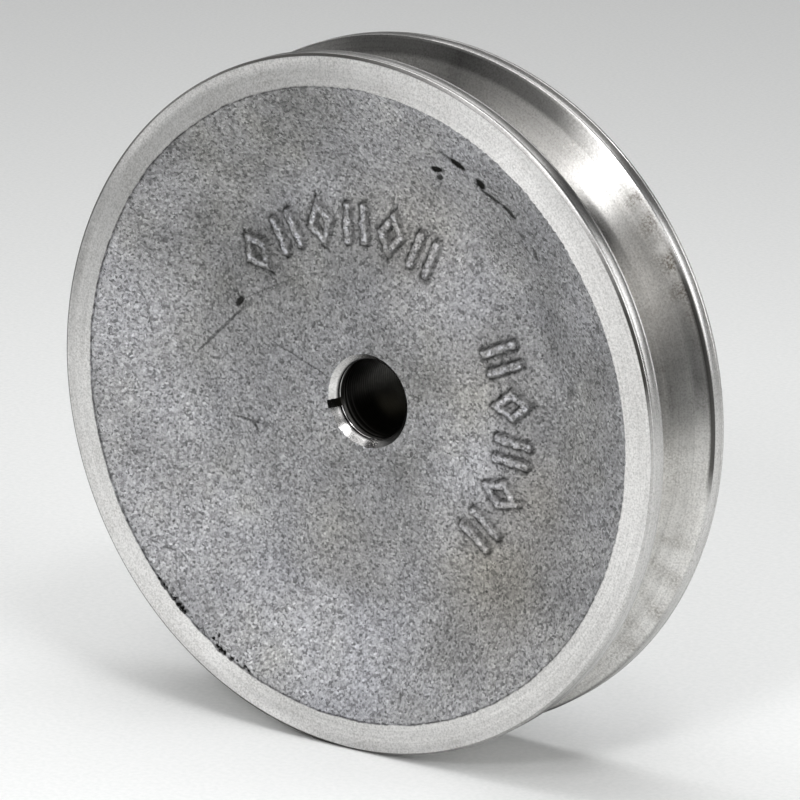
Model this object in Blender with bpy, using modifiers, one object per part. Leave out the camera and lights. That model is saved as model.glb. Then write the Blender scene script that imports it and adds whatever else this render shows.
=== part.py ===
"""Cast aluminium V belt pulley, single groove, with a steel sleeved hub and two set screws.

Units are metres.  The pulley stands on its rim: the spin axis is the world Y axis, the dished and
marked front faces -Y, and +Z is up.  The origin is on the spin axis, at the middle of the groove.
"""
import bpy
import bmesh
from math import sin, cos, tan, pi, radians, sqrt
from mathutils import Matrix, Vector

# ---------------------------------------------------------------- driving dimensions
OUTER_RADIUS = 0.0685            # over the flanges
RIM_WIDTH = 0.0254               # across both flanges
LAND_WIDTH = 0.0038              # flat top of each flange
RIM_EDGE_BREAK = 0.0005          # outer corners of the rim
GROOVE_EDGE_BREAK = 0.0003       # corners between land and groove
GROOVE_DEPTH = 0.0140
GROOVE_ANGLE = 36.0              # degrees, included
GROOVE_ROOT_RADIUS = 0.0010

RING_INNER_RADIUS = 0.0623       # where the turned ring face meets the cast web
WEB_FLOOR_RADIUS = 0.0420        # where the sloping web meets the flat middle
FRONT_HUB_DEPTH = 0.0068         # hub face below the ring face, front
FRONT_FLOOR_DEPTH = 0.0079       # flat of the web below the ring face, front
BACK_FLOOR_DEPTH = 0.0098        # flat of the web below the ring face, back
WEB_FILLET = 0.0080

HUB_RADIUS = 0.0160
HUB_DRAFT = 0.0004
HUB_FILLET = 0.0030
HUB_END = 0.0240                 # from the middle of the groove to the hub's end face
HUB_EDGE_BREAK = 0.0006

BORE_RADIUS = 0.0079375          # for a 15.9 mm shaft
MOUTH_RADIUS = 0.0094            # outer edge of the bore's chamfer
LIP_THICKNESS = 0.0012           # metal left behind the chamfer
NOTCH_WIDTH = 0.0016
NOTCH_ANGLE = 192.5              # degrees round the front, from +X towards +Z
NOTCH_REACH = 0.0096

SLEEVE_RADIUS = 0.0104
SLEEVE_CHAMFER = 0.0006
FIT_GAP = 0.0003                 # kept between pieces that touch

SCREW_RADIUS = 0.003175
SCREW_LENGTH = 0.00635
SCREW_STATION = 0.0185           # along the hub, from the middle of the groove
SCREW_TIP_RADIUS = 0.0084        # tip's distance from the spin axis
SCREW_SOCKET = 0.003175          # across the flats
SCREW_SOCKET_DEPTH = 0.0028
SCREW_EDGE_BREAK = 0.0005
SCREW_CUP_DEPTH = 0.0005

MARK_PROUD = 0.0010
MARK_HEIGHT = 0.0082             # along the spoke
MARK_WIDTH = 0.0056
MARK_BAR = 0.0017
# rows of raised foundry marks: first angle, last angle, count, radius of the first and of the last mark
MARK_ROWS = ((67.0, 135.0, 6, 0.0334, 0.0366), (-39.0, 23.0, 5, 0.0336, 0.0336))

SEGMENTS = 72


# ---------------------------------------------------------------- helpers
def clear_scene():
    for ob in list(bpy.data.objects):
        bpy.data.objects.remove(ob, do_unlink=True)
    for me in list(bpy.data.meshes):
        if me.users == 0:
            bpy.data.meshes.remove(me)


def collection(name):
    c = bpy.data.collections.new(name)
    bpy.context.scene.collection.children.link(c)
    return c


def material(name, colour, roughness, metallic):
    m = bpy.data.materials.new(name)
    m.use_nodes = True
    b = m.node_tree.nodes["Principled BSDF"]
    b.inputs["Base Color"].default_value = (*colour, 1.0)
    b.inputs["Roughness"].default_value = roughness
    b.inputs["Metallic"].default_value = metallic
    m.diffuse_color = (*colour, 1.0)
    return m


def arc(centre, radius, a0, a1, steps):
    """Points on an arc in the (r, z) half plane, angles in degrees."""
    out = []
    for i in range(steps + 1):
        a = radians(a0 + (a1 - a0) * i / steps)
        out.append((centre[0] + radius * cos(a), centre[1] + radius * sin(a)))
    return out


def fillet(p0, corner, p1, radius, steps):
    """Round the corner of the path p0 - corner - p1."""
    c = Vector(corner)
    u = (Vector(p0) - c).normalized()
    v = (Vector(p1) - c).normalized()
    half = u.angle(v) / 2.0
    t = radius / tan(half)
    mid = c + (u + v).normalized() * (radius / sin(half))
    a, b = c + u * t, c + v * t
    ea, eb = (a - mid), (b - mid)
    total = ea.angle(eb)
    cross = ea.x * eb.y - ea.y * eb.x
    sign = 1.0 if cross > 0 else -1.0
    pts = []
    for i in range(steps + 1):
        w = sign * total * i / steps
        pts.append((mid.x + ea.x * cos(w) - ea.y * sin(w), mid.y + ea.x * sin(w) + ea.y * cos(w)))
    return pts


def turned(name, profile, group, mat, segments=SEGMENTS, closed=True):
    """Turn a closed (r, z) profile about local Z with a Screw modifier."""
    me = bpy.data.meshes.new(name)
    n = len(profile)
    verts = [(r, 0.0, z) for r, z in profile]
    edges = [(i, (i + 1) % n) for i in range(n if closed else n - 1)]
    me.from_pydata(verts, edges, [])
    ob = bpy.data.objects.new(name, me)
    group.objects.link(ob)
    s = ob.modifiers.new("Turn", 'SCREW')
    s.axis = 'Z'
    s.angle = 2.0 * pi
    s.steps = s.render_steps = segments
    s.use_merge_vertices = True
    s.merge_threshold = 0.000001
    s.use_smooth_shade = True
    if mat is not None:
        me.materials.append(mat)
    return ob


def cut(target, tool, operation='DIFFERENCE'):
    b = target.modifiers.new("Cut " + tool.name, 'BOOLEAN')
    b.operation = operation
    b.solver = 'EXACT'
    b.object = tool
    return b


def as_tool(ob):
    ob.hide_render = True
    ob.display_type = 'WIRE'
    return ob


def cylinder_tool(name, radius, length, segments, group, matrix):
    """Cylinder along its local Z, base at the local origin."""
    me = bpy.data.meshes.new(name)
    bm = bmesh.new()
    bmesh.ops.create_cone(bm, cap_ends=True, cap_tris=False, segments=segments,
                          radius1=radius, radius2=radius, depth=length,
                          matrix=Matrix.Translation((0.0, 0.0, length / 2.0)))
    bm.to_mesh(me)
    bm.free()
    ob = bpy.data.objects.new(name, me)
    group.objects.link(ob)
    ob.matrix_local = matrix
    return ob


def radial_frame(angle_deg, station):
    """Local frame whose Z points outwards along a spoke of the pulley; station is towards the back."""
    a = radians(angle_deg)
    z = Vector((cos(a), sin(a), 0.0))
    x = Vector((0.0, 0.0, 1.0))
    y = z.cross(x)
    m = Matrix((x, y, z)).transposed().to_4x4()
    m.translation = Vector((0.0, 0.0, -station))
    return m


# ---------------------------------------------------------------- profiles
half_width = RIM_WIDTH / 2.0
front_plane = half_width
back_plane = -half_width


def front_floor_depth(r):
    t = min(max((r - MOUTH_RADIUS) / (WEB_FLOOR_RADIUS - MOUTH_RADIUS), 0.0), 1.0)
    return FRONT_HUB_DEPTH + (FRONT_FLOOR_DEPTH - FRONT_HUB_DEPTH) * t * t


def casting_profile():
    flange_tan = tan(radians(GROOVE_ANGLE / 2.0))
    groove_half = half_width - LAND_WIDTH
    root_half = groove_half - GROOVE_DEPTH * flange_tan
    root_r = OUTER_RADIUS - GROOVE_DEPTH
    chamfer = MOUTH_RADIUS - BORE_RADIUS
    pts = []
    # bore mouth and the domed middle of the web
    mouth_z = front_plane - FRONT_HUB_DEPTH
    pts.append((BORE_RADIUS, mouth_z - chamfer))
    for r in (MOUTH_RADIUS, 0.016, 0.023, 0.030, 0.036):
        pts.append((r, front_plane - front_floor_depth(r)))
    corner = (WEB_FLOOR_RADIUS, front_plane - FRONT_FLOOR_DEPTH - 0.0003)
    ring = (RING_INNER_RADIUS, front_plane)
    pts += fillet(pts[-1], corner, ring, WEB_FILLET, 4)
    pts.append(ring)
    # rim, front flange
    b, g = RIM_EDGE_BREAK, GROOVE_EDGE_BREAK
    pts += [(OUTER_RADIUS - b, front_plane), (OUTER_RADIUS, front_plane - b)]
    pts += [(OUTER_RADIUS, groove_half + g), (OUTER_RADIUS - g, groove_half - g * flange_tan)]
    pts += fillet((OUTER_RADIUS, groove_half), (root_r, root_half), (root_r, 0.0), GROOVE_ROOT_RADIUS, 3)
    pts += fillet((root_r, 0.0), (root_r, -root_half), (OUTER_RADIUS, -groove_half), GROOVE_ROOT_RADIUS, 3)
    # rim, back flange
    pts += [(OUTER_RADIUS - g, -groove_half + g * flange_tan), (OUTER_RADIUS, -groove_half - g)]
    pts += [(OUTER_RADIUS, back_plane + b), (OUTER_RADIUS - b, back_plane)]
    # back of the web
    ring = (RING_INNER_RADIUS, back_plane)
    floor = back_plane + BACK_FLOOR_DEPTH
    corner = (WEB_FLOOR_RADIUS - 0.001, floor)
    foot = (HUB_RADIUS + HUB_DRAFT, floor)
    pts.append(ring)
    pts += fillet(ring, corner, foot, WEB_FILLET, 4)
    pts += fillet(corner, foot, (HUB_RADIUS, -HUB_END), HUB_FILLET, 3)
    # rear boss and the sleeve's seat
    h = HUB_EDGE_BREAK
    seat = SLEEVE_RADIUS + FIT_GAP
    shoulder = mouth_z - chamfer - LIP_THICKNESS
    pts += [(HUB_RADIUS, -HUB_END + h), (HUB_RADIUS - h, -HUB_END)]
    pts += [(seat, -HUB_END), (seat, shoulder), (BORE_RADIUS, shoulder)]
    return pts, shoulder


def sleeve_profile(shoulder):
    c = SLEEVE_CHAMFER
    top = shoulder - FIT_GAP
    return [(BORE_RADIUS, top), (SLEEVE_RADIUS - c, top), (SLEEVE_RADIUS, top - c),
            (SLEEVE_RADIUS, -HUB_END), (BORE_RADIUS + c, -HUB_END), (BORE_RADIUS, -HUB_END + c)]


def screw_profile():
    e = SCREW_EDGE_BREAK
    return [(0.0, SCREW_LENGTH), (SCREW_RADIUS - e, SCREW_LENGTH), (SCREW_RADIUS, SCREW_LENGTH - e),
            (SCREW_RADIUS, 2.0 * e), (SCREW_RADIUS - 2.0 * e, 0.0), (0.0, SCREW_CUP_DEPTH)]


# ---------------------------------------------------------------- build
clear_scene()
parts = collection("v_belt_pulley")
tools = collection("cutters")

aluminium = material("cast_aluminium", (0.56, 0.56, 0.58), 0.45, 1.0)
steel = material("sleeve_steel", (0.20, 0.19, 0.18), 0.40, 1.0)
black_steel = material("screw_steel", (0.08, 0.08, 0.085), 0.45, 1.0)
black_steel_2 = material("screw_steel_side", (0.08, 0.08, 0.085), 0.45, 1.0)

axis_empty = bpy.data.objects.new("pulley_axis", None)
axis_empty.rotation_euler = (pi / 2.0, 0.0, 0.0)      # local Z runs out of the front, local Y is up
parts.objects.link(axis_empty)

profile, shoulder_z = casting_profile()
casting = turned("pulley_casting", profile, parts, aluminium)
casting.parent = axis_empty

sleeve = turned("bore_sleeve", sleeve_profile(shoulder_z), parts, steel)
sleeve.parent = axis_empty

# Raised foundry marks: pairs of bars and lozenges by turns, in two rows, joined to the web.
bm = bmesh.new()
mark_depth = 0.0030
for first, last, count, first_radius, last_radius in MARK_ROWS:
    for i in range(count):
        along = i / (count - 1)
        a = radians(first + (last - first) * along)
        middle = first_radius + (last_radius - first_radius) * along
        mark_top = front_plane - front_floor_depth(middle) + MARK_PROUD
        place = Matrix.Rotation(a, 4, 'Z') @ Matrix.Translation((middle, 0.0, mark_top - mark_depth / 2.0))
        if i % 2 == 0:
            for side in (-1.0, 1.0):
                offset = Matrix.Translation((0.0, side * (MARK_WIDTH - MARK_BAR) / 2.0, 0.0))
                bmesh.ops.create_cube(bm, size=1.0, matrix=place @ offset
                                      @ Matrix.Diagonal((MARK_HEIGHT, MARK_BAR, mark_depth, 1.0)))
        else:
            bmesh.ops.create_cone(bm, cap_ends=True, cap_tris=False, segments=4, radius1=0.5, radius2=0.5,
                                  depth=1.0, matrix=place
                                  @ Matrix.Diagonal((MARK_HEIGHT, MARK_WIDTH, mark_depth, 1.0)))
marks_mesh = bpy.data.meshes.new("foundry_marks")
bm.to_mesh(marks_mesh)
bm.free()
marks = bpy.data.objects.new("foundry_marks", marks_mesh)
tools.objects.link(marks)
marks.parent = axis_empty
as_tool(marks)
cut(casting, marks, 'UNION')

# Narrow notch across the chamfer at the bore's mouth.
bm = bmesh.new()
reach = NOTCH_REACH - 0.004
bmesh.ops.create_cube(bm, size=1.0, matrix=Matrix.Rotation(radians(NOTCH_ANGLE), 4, 'Z')
                      @ Matrix.Translation((0.004 + reach / 2.0, 0.0, shoulder_z + 0.003))
                      @ Matrix.Diagonal((reach, NOTCH_WIDTH, 0.010, 1.0)))
notch_mesh = bpy.data.meshes.new("mouth_notch")
bm.to_mesh(notch_mesh)
bm.free()
notch = bpy.data.objects.new("mouth_notch", notch_mesh)
tools.objects.link(notch)
notch.parent = axis_empty
as_tool(notch)
cut(casting, notch)

# Set screws, each in a radial hole through the rear boss and the sleeve.
for name, angle, mat in (("set_screw_top", 90.0, black_steel), ("set_screw_side", 0.0, black_steel_2)):
    frame = radial_frame(angle, SCREW_STATION)
    hole = cylinder_tool(name + "_hole", SCREW_RADIUS + FIT_GAP, HUB_RADIUS + 0.004, 24, tools, frame)
    hole.parent = axis_empty
    as_tool(hole)
    cut(casting, hole)
    cut(sleeve, hole)

    screw = turned(name, screw_profile(), parts, mat, segments=24)
    screw.parent = axis_empty
    screw.matrix_local = frame @ Matrix.Translation((0.0, 0.0, SCREW_TIP_RADIUS))
    socket = cylinder_tool(name + "_socket", SCREW_SOCKET / sqrt(3.0), SCREW_SOCKET_DEPTH + 0.002, 6, tools,
                           frame @ Matrix.Translation((0.0, 0.0, SCREW_TIP_RADIUS + SCREW_LENGTH
                                                       - SCREW_SOCKET_DEPTH)))
    socket.parent = axis_empty
    as_tool(socket)
    cut(screw, socket)

bpy.context.view_layer.update()
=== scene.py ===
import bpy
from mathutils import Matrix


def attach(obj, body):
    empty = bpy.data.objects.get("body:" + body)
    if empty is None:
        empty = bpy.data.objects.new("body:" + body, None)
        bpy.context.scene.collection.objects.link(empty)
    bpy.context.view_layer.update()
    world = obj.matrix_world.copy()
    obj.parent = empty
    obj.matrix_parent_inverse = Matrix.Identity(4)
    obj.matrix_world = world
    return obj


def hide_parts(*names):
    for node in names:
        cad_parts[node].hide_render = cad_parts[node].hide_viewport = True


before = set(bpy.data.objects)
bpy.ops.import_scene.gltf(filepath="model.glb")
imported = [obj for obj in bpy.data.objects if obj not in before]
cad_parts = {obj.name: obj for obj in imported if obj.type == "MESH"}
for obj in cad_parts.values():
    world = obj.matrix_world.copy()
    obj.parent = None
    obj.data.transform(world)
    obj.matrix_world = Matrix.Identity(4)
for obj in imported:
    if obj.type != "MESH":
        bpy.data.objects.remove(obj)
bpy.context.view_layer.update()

from math import sin, cos, tan, pi, radians, sqrt, atan2

import bpy
import bmesh
import numpy as np
from mathutils import Matrix, Vector

MM = 0.001

# Dimensions of the frame, in millimetres.  Spin axis along world Y, front towards -Y, +Z up.
R_OUT = 68.5
HALF_W = 12.7
LAND = 3.8
GROOVE_DEPTH = 14.0
WALL_TAN = tan(radians(18.0))
R_RING = 62.3
R_FLOOR = 42.0
D_HUB = 6.8
D_FLOOR = 7.9
D_BACK = 9.8
R_HUB = 16.0
HUB_END = 24.0
R_BORE = 7.9375
R_MOUTH = 9.25
LIP = 1.2
R_SLEEVE = 10.4
NOTCH_A = radians(192.5)
NOTCH_HALF = 0.8
NOTCH_R = 9.7
SCREW_STATION = 18.5
SCREW_R = 3.175
SCREW_L = 6.35
SCREW_TIP = 8.4
SOCKET_AF = 3.175
MOUTH_Z = HALF_W - D_HUB                      # front hub face
THROAT_Z = MOUTH_Z - (R_MOUTH - R_BORE)       # inner end of the chamfer
SHOULDER_Z = THROAT_Z - LIP

NA = 900                                      # steps round the casting
theta = np.linspace(0.0, 2.0 * pi, NA, endpoint=False)


# ------------------------------------------------------------------ smooth random fields
class Field:
    """Periodic band-limited noise on a square of side `span` mm, unit deviation."""

    def __init__(self, seed, short, long, span=150.0, n=1024):
        g = np.random.default_rng(seed)
        f = np.fft.fftfreq(n, d=span / n)
        k = np.hypot(f[:, None], f[None, :])
        lo, hi = 1.0 / long, 1.0 / short
        band = np.exp(-(k / hi) ** 4) * (1.0 - np.exp(-(k / lo) ** 4))
        w = np.fft.ifft2(np.fft.fft2(g.standard_normal((n, n))) * band).real
        self.w = (w - w.mean()) / w.std()
        self.n, self.span = n, span

    def __call__(self, x, y):
        u = (np.asarray(x) / self.span * self.n) % self.n
        v = (np.asarray(y) / self.span * self.n) % self.n
        i, j = np.floor(u).astype(int), np.floor(v).astype(int)
        a, b = u - i, v - j
        i0, j0 = i % self.n, j % self.n
        i1, j1 = (i + 1) % self.n, (j + 1) % self.n
        w = self.w
        return (w[i0, j0] * (1 - a) * (1 - b) + w[i1, j0] * a * (1 - b)
                + w[i0, j1] * (1 - a) * b + w[i1, j1] * a * b)


wave_long = Field(11, 12.0, 40.0)
wave_mid = Field(12, 3.0, 9.0)
wave_fine = Field(13, 0.9, 2.2, n=2048)
back_long = Field(21, 12.0, 40.0)
back_mid = Field(22, 3.0, 9.0)
hub_skin = Field(23, 1.2, 5.0)


def smoothstep(a, b, x):
    t = np.clip((x - a) / (b - a), 0.0, 1.0)
    return t * t * (3.0 - 2.0 * t)


# ------------------------------------------------------------------ relief of the front web
def rounded_box(u, v, hu, hv, r):
    qx = np.abs(u) - (hu - r)
    qy = np.abs(v) - (hv - r)
    return np.hypot(np.maximum(qx, 0.0), np.maximum(qy, 0.0)) + np.minimum(np.maximum(qx, qy), 0.0) - r


def lozenge(u, v, hu, hv):
    return (np.abs(u) / hu + np.abs(v) / hv - 1.0) * hu * hv / sqrt(hu * hu + hv * hv)


MARKS = []           # angle, kind, radius of the middle
for first, last, count, r_first, r_last in ((67.0, 135.0, 6, 33.4, 36.6), (-39.0, 23.0, 5, 33.6, 33.6)):
    for i in range(count):
        f = i / (count - 1)
        MARKS.append((first + (last - first) * f, i % 2, r_first + (r_last - r_first) * f))


def marks_shape(x, y):
    """Distance to the foundry marks, negative inside: pairs of bars, and open lozenges."""
    d = np.full(x.shape, 9.0)
    wob = 0.07 * wave_mid(x * 1.7 + 31.0, y * 1.7)
    for deg, kind, mid in MARKS:
        a = radians(deg)
        rad = x * cos(a) + y * sin(a) - mid
        tng = -x * sin(a) + y * cos(a)
        near = (np.abs(rad) < 7.0) & (np.abs(tng) < 6.0)
        if not near.any():
            continue
        rr, tt = rad[near], tng[near]
        if kind == 0:
            e = np.minimum(rounded_box(rr, tt - 1.92, 4.1, 0.90, 0.7), rounded_box(rr, tt + 1.92, 4.1, 0.90, 0.7))
        else:
            e = lozenge(rr, tt, 4.6, 3.2) - 0.1
            e = np.maximum(e, -(lozenge(rr, tt, 1.9, 1.2)))
        d[near] = np.minimum(d[near], e + wob[near])
    return d


def marks_height(x, y):
    d = marks_shape(x, y)
    h = np.zeros_like(x)
    near = d < 0.6
    top = 1.10 + 0.10 * wave_mid(x[near] * 2.3, y[near] * 2.3 + 9.0)
    h[near] = top * (1.0 - smoothstep(-0.16, 0.20, d[near]))
    return h


# gouges left in the mould: x, y, half length, half width, direction in degrees, depth
GOUGES = (
    (17.4, 48.2, 1.30, 0.50, 0.0, 0.36), (17.8, 46.6, 0.70, 0.45, 30.0, 0.28), (23.2, 50.2, 1.80, 0.52, -24.0, 0.38),
    (20.4, 51.6, 1.20, 0.34, -28.0, 0.18), (28.2, 47.0, 1.10, 0.75, -40.0, 0.40), (30.6, 44.8, 2.40, 0.32, -25.0, 0.24),
    (34.6, 42.7, 1.80, 0.40, -34.0, 0.28), (37.2, 38.4, 1.00, 0.42, -40.0, 0.20), (40.2, 35.2, 1.20, 0.36, -70.0, 0.20),
    (-30.7, 15.2, 1.20, 0.52, 50.0, 0.32), (-35.4, 8.9, 8.0, 0.24, 42.6, 0.12), (-29.0, -8.3, 3.0, 0.26, -5.0, 0.14),
    (-26.8, -9.5, 1.1, 0.28, -60.0, 0.14), (46.8, 9.5, 1.6, 0.8, 75.0, 0.14),
    (-11.5, 12.5, 5.5, 0.14, 128.0, 0.08), (-14.0, 9.5, 6.0, 0.14, 130.0, 0.08), (-16.5, 6.8, 4.0, 0.12, 134.0, 0.07),
)


def gouge_depth(x, y):
    h = np.zeros_like(x)
    for gx, gy, hl, hw, deg, depth in GOUGES:
        a = radians(deg)
        u = ((x - gx) * cos(a) + (y - gy) * sin(a)) / hl
        v = (-(x - gx) * sin(a) + (y - gy) * cos(a)) / hw
        h += depth * np.exp(-(u ** 4)) * np.exp(-(v ** 2))
    return h


CONE = (HALF_W - (HALF_W - D_FLOOR - 0.3)) / (R_RING - R_FLOOR)


def front_base(r):
    t = np.clip((r - R_MOUTH) / (R_FLOOR - R_MOUTH), 0.0, 1.3)
    floor = HALF_W - (D_HUB + (D_FLOOR - D_HUB) * t * t)
    cone = HALF_W - (R_RING - r) * CONE
    d = cone - floor
    return 0.5 * (floor + cone + np.sqrt(d * d + 1.1 ** 2)) - 0.5 * (np.sqrt((HALF_W - 3.0) ** 2 * 0 + 1.1 ** 2) - 1.1)


def front_uneven(x, y):
    return 0.10 * wave_long(x, y) + 0.045 * wave_mid(x, y)


def front_height(x, y):
    r = np.hypot(x, y)
    calm = smoothstep(9.0, 13.0, r)
    return (front_base(r) + front_uneven(x, y) * calm + 0.030 * wave_fine(x, y)
            + marks_height(x, y) - gouge_depth(x, y) - pore_depth(x, y))


# The ring is turned flat, so its inner edge runs where the cast skin dips below the cut.
def ring_edge(uneven, slope, nominal, drift):
    r = np.full(NA, nominal) + drift
    for _ in range(6):
        r = nominal + drift - uneven(r * np.cos(theta), r * np.sin(theta)) / slope
    return r


def round_curve(stops):
    """Smooth closed curve through (degrees, value) stops."""
    deg = np.array([p[0] for p in stops], float)
    val = np.array([p[1] for p in stops], float)
    w = np.interp(np.degrees(theta), np.append(deg, deg[0] + 360.0), np.append(val, val[0]), period=360.0)
    k = np.fft.fftfreq(NA, 1.0 / NA)
    return np.fft.ifft(np.fft.fft(w) * np.exp(-(k / 14.0) ** 2)).real


def rough_curve(seed, short, long):
    """Closed noise of unit deviation with wavelengths between `short` and `long` mm on the ring's edge."""
    k = np.abs(np.fft.fftfreq(NA, 1.0 / NA))
    turn_mm = 2.0 * pi * R_RING
    band = np.exp(-(k * short / turn_mm) ** 4) * (1.0 - np.exp(-(k * long / turn_mm) ** 4))
    w = np.fft.ifft(np.fft.fft(np.random.default_rng(seed).standard_normal(NA)) * band).real
    return w / w.std()


r_edge_front = R_RING + round_curve(((0, 0.22), (15, 0.24), (32, 0.0), (45, -0.08), (60, 0.10), (75, 0.0), (90, -0.12),
                                     (120, -0.12), (135, 0.06), (152, -0.17), (180, -0.05), (210, 0.05), (228, 0.10),
                                     (240, 0.26), (255, 0.12), (300, 0.10), (330, 0.22), (345, 0.16)))
r_edge_front += 0.028 * rough_curve(3, 1.0, 3.5) + 0.04 * rough_curve(4, 5.0, 30.0)
ragged = np.exp(-((((theta - radians(48.0) + pi) % (2 * pi)) - pi) / 0.5) ** 2)
r_edge_front += 0.06 * rough_curve(6, 0.8, 2.4) * ragged
# how far the skin drops away just inside the turned face, and the pores opened by the cut
edge_drop = 0.07 + round_curve(((0, 0.06), (30, 0.0), (80, 0.0), (110, 0.16), (160, 0.26), (200, 0.24), (250, 0.24),
                                (300, 0.26), (340, 0.22)))
PORES = []
g = np.random.default_rng(5)
for _ in range(34):
    a = g.uniform(196.0, 262.0)
    if g.uniform() < 0.5:
        a = g.choice((226.0, 230.0, 239.0, 241.0, 246.0)) + g.normal() * 1.2
    PORES.append((radians(a), g.uniform(-0.9, 0.05), g.uniform(0.16, 0.32), g.uniform(0.30, 0.70)))
OPENED = ((222.6, -0.12, 0.28), (224.0, -0.10, 0.26), (227.3, -0.12, 0.32), (228.6, -0.10, 0.40), (229.6, -0.10, 0.46),
          (230.4, -0.12, 0.30), (238.0, -0.8, 0.28), (238.4, -1.9, 0.24), (239.4, -0.08, 0.36), (240.3, -0.04, 0.46), (241.2, -0.08, 0.38),
          (243.0, -0.15, 0.28), (244.2, -0.55, 0.24), (246.0, -0.45, 0.30), (247.0, -0.25, 0.24))
for a, off, size in OPENED:
    PORES.append((radians(a), off, size, 0.85))
for _ in range(26):
    PORES.append((g.uniform(0.0, 2.0 * pi), g.uniform(-0.5, 0.0), g.uniform(0.12, 0.26), g.uniform(0.15, 0.4)))
for a, off, size, depth in PORES:
    if off > -0.25:
        r_edge_front += 0.6 * size * np.exp(-((((theta - a + pi) % (2 * pi)) - pi) * 62.0 / size) ** 2)
r_edge_front = np.clip(r_edge_front, 60.8, 64.2)


def pore_depth(x, y):
    h = np.zeros_like(x)
    for a, off, size, depth in PORES:
        rp = R_RING + 0.2 + off
        dx, dy = x - rp * cos(a), y - rp * sin(a)
        h += depth * np.exp(-((dx * dx + dy * dy) / (size * size)) ** 1.5)
    return h


BACK_SLOPE = (D_BACK) / (R_RING - (R_FLOOR - 1.0))


def back_uneven(x, y):
    return 0.10 * back_long(x, y) + 0.045 * back_mid(x, y)


r_edge_back = np.clip(ring_edge(back_uneven, BACK_SLOPE, R_RING, 0.25 * np.cos(theta - 1.0)), 61.0, 63.8)


# ------------------------------------------------------------------ casting
def arc_pts(cr, cz, rad, a0, a1, n):
    return [(cr + rad * cos(radians(a0 + (a1 - a0) * i / n)), cz + rad * sin(radians(a0 + (a1 - a0) * i / n)))
            for i in range(n + 1)]


def ring_of(r, z):
    return np.full(NA, float(r)), np.full(NA, float(z))


CAST, FACE, LANDS, WALL, BORE, EDGE = range(6)
rings, mats = [], []          # rings[k] is (r, z) round the axis; mats[k] is the band from ring k to ring k + 1


def add(ring, mat):
    rings.append(ring)
    mats.append(mat)


# lip and chamfer at the bore's mouth
add(ring_of(R_BORE, SHOULDER_Z), BORE)
add(ring_of(R_BORE, SHOULDER_Z + 0.28), BORE)
add(ring_of(R_BORE + 0.12, SHOULDER_Z + 0.42), BORE)
add(ring_of(R_BORE, SHOULDER_Z + 0.58), BORE)
add(ring_of(R_BORE, THROAT_Z - 0.06), BORE)
add(ring_of(R_BORE + 0.06, THROAT_Z + 0.02), BORE)
r_cut = np.full(NA, R_MOUTH)
for _ in range(8):
    zc = front_height(r_cut * np.cos(theta), r_cut * np.sin(theta))
    r_cut = 0.5 * r_cut + 0.5 * (R_BORE + (zc - THROAT_Z))
for s in (0.25, 0.5, 0.75, 0.93):
    r = R_BORE + (r_cut - R_BORE) * s
    add((r, THROAT_Z + (r - R_BORE)), BORE)
add((r_cut, THROAT_Z + (r_cut - R_BORE)), CAST)

# web, closer rings where the marks stand
def spaced(lo, hi, step):
    n = max(1, int(round((hi - lo) / step)))
    return [lo + (hi - lo) * i / n for i in range(n)]


radii = spaced(9.9, 29.0, 0.58) + spaced(29.0, 41.2, 0.19) + spaced(41.2, 60.0, 0.52)
for q in radii:
    s = min(1.0, (q - 9.4) / 19.6)
    r = r_cut * (1.0 - s) + 29.0 * s if s < 1.0 else np.full(NA, q)
    z = front_height(r * np.cos(theta), r * np.sin(theta))
    add((r, z), CAST)
for s in (0.0, 0.25, 0.5, 0.72, 0.88, 0.97):
    r = 60.0 + (r_edge_front - 0.10 - 60.0) * s
    z = front_height(r * np.cos(theta), r * np.sin(theta)) - edge_drop * np.exp(-((r_edge_front - r) / 0.9))
    add((r, np.minimum(z, HALF_W - 0.06 - edge_drop * 0.5)), CAST)
r = r_edge_front - 0.06
z = front_height(r * np.cos(theta), r * np.sin(theta)) - edge_drop
add((r, np.minimum(z, HALF_W - 0.10 - edge_drop * 0.6)), CAST)
# turned ring face and rim
add((r_edge_front.copy(), np.full(NA, HALF_W)), FACE)
for s in (0.04, 0.3, 0.60, 0.80, 0.97, 1.0):
    add((r_edge_front + (R_OUT - 0.53 - r_edge_front) * s, np.full(NA, HALF_W)), FACE)
half_g = HALF_W - LAND
root_r, root_half = R_OUT - GROOVE_DEPTH, half_g - GROOVE_DEPTH * WALL_TAN
side = []
side += [((R_OUT - 0.50, HALF_W - 0.02), EDGE), ((R_OUT - 0.46, HALF_W - 0.06), EDGE), ((R_OUT - 0.08, HALF_W - 0.42), EDGE),
         ((R_OUT - 0.02, HALF_W - 0.52), LANDS), ((R_OUT, HALF_W - 0.62), LANDS), ((R_OUT, HALF_W - 1.00), LANDS),
         ((R_OUT - 0.05, HALF_W - 1.06), LANDS), ((R_OUT - 0.05, HALF_W - 1.20), LANDS), ((R_OUT, HALF_W - 1.28), LANDS),
         ((R_OUT, HALF_W - 2.4), LANDS), ((R_OUT, half_g + 0.62), LANDS), ((R_OUT - 0.04, half_g + 0.56), LANDS),
         ((R_OUT - 0.04, half_g + 0.46), LANDS), ((R_OUT, half_g + 0.40), LANDS)]
side += [(p, LANDS) for p in arc_pts(R_OUT - 0.26, half_g + 0.26, 0.26, 0.0, -72.0, 4)]
wall_top = side[-1][0]
f = 1.0 * tan(radians(36.0))                # root fillet's tangent length
wall_foot = (root_r + f * cos(radians(18.0)), root_half + f * sin(radians(18.0)))
for s in (0.034, *np.linspace(0.0, 1.0, 15)[1:-1]):
    side.append(((wall_top[0] + (wall_foot[0] - wall_top[0]) * s, wall_top[1] + (wall_foot[1] - wall_top[1]) * s), WALL))
side[-15] = (side[-15][0], WALL)
centre = (root_r + 1.0, root_half - f)
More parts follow.
